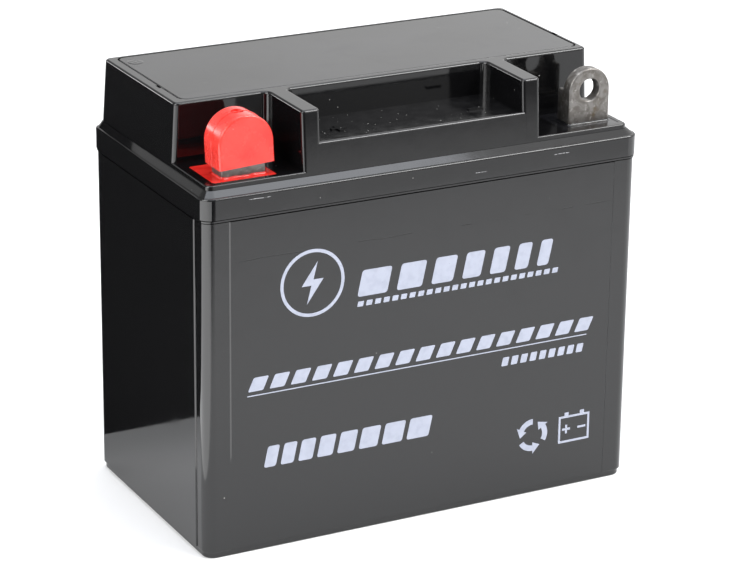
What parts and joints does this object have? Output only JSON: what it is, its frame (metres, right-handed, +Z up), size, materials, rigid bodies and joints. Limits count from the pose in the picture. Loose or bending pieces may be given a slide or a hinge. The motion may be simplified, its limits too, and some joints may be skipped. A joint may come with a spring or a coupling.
{
  "type": "motorcycle battery",
  "caption": "Sealed lead-acid motorcycle battery: moulded case and lid with a raised vent block, lead flag terminals at the front and a red pull-off terminal cap.",
  "frame": {"origin": "centre of the footprint, on the underside of the case", "axes": "+Z up; +X along the long side, from the positive terminal towards the negative one; the terminals face -Y, so +Y points to the rear"},
  "size_m": [0.137, 0.076, 0.1259],
  "materials": {
    "black_gloss": "glossy moulded plastic, finely grained on the front",
    "lead": "dull cast lead with pale oxide",
    "red_vinyl": "soft glossy vinyl",
    "red_resin": "cast resin, glossy",
    "black_resin": "cast resin, glossy",
    "black_rubber": "matte",
    "positive_paste": "brown pasted plate",
    "negative_paste": "grey pasted plate",
    "glass_mat": "white absorbed glass mat"
  },
  "bodies": {
    "battery": {"case": "black_gloss", "lid": "black_gloss", "vent_cover_plate": "black_gloss", "positive_terminal": "lead", "negative_terminal": "lead", "positive_terminal_seal": "red_resin", "negative_terminal_seal": "black_resin", "positive_o_ring": "black_rubber", "negative_o_ring": "black_rubber", "valve_cap_1": "black_rubber", "positive_plates_1": "positive_paste", "negative_plates_1": "negative_paste", "separators_1": "glass_mat", "positive_strap_1": "lead", "negative_strap_1": "lead", "valve_cap_2": "black_rubber", "positive_plates_2": "positive_paste", "negative_plates_2": "negative_paste", "separators_2": "glass_mat", "positive_strap_2": "lead", "negative_strap_2": "lead", "valve_cap_3": "black_rubber", "positive_plates_3": "positive_paste", "negative_plates_3": "negative_paste", "separators_3": "glass_mat", "positive_strap_3": "lead", "negative_strap_3": "lead", "valve_cap_4": "black_rubber", "positive_plates_4": "positive_paste", "negative_plates_4": "negative_paste", "separators_4": "glass_mat", "positive_strap_4": "lead", "negative_strap_4": "lead", "valve_cap_5": "black_rubber", "positive_plates_5": "positive_paste", "negative_plates_5": "negative_paste", "separators_5": "glass_mat", "positive_strap_5": "lead", "negative_strap_5": "lead", "valve_cap_6": "black_rubber", "positive_plates_6": "positive_paste", "negative_plates_6": "negative_paste", "separators_6": "glass_mat", "positive_strap_6": "lead", "negative_strap_6": "lead", "intercell_weld_1": "lead", "intercell_weld_2": "lead", "intercell_weld_3": "lead", "intercell_weld_4": "lead", "intercell_weld_5": "lead"},
    "terminal_cap": {"terminal_cap": "red_vinyl"}
  },
  "joints": [
    {"name": "cap_pull", "type": "slide", "parent": "battery", "child": "terminal_cap", "axis": [0, 0, 1], "range_m": [0, 0.03]}
  ]
}
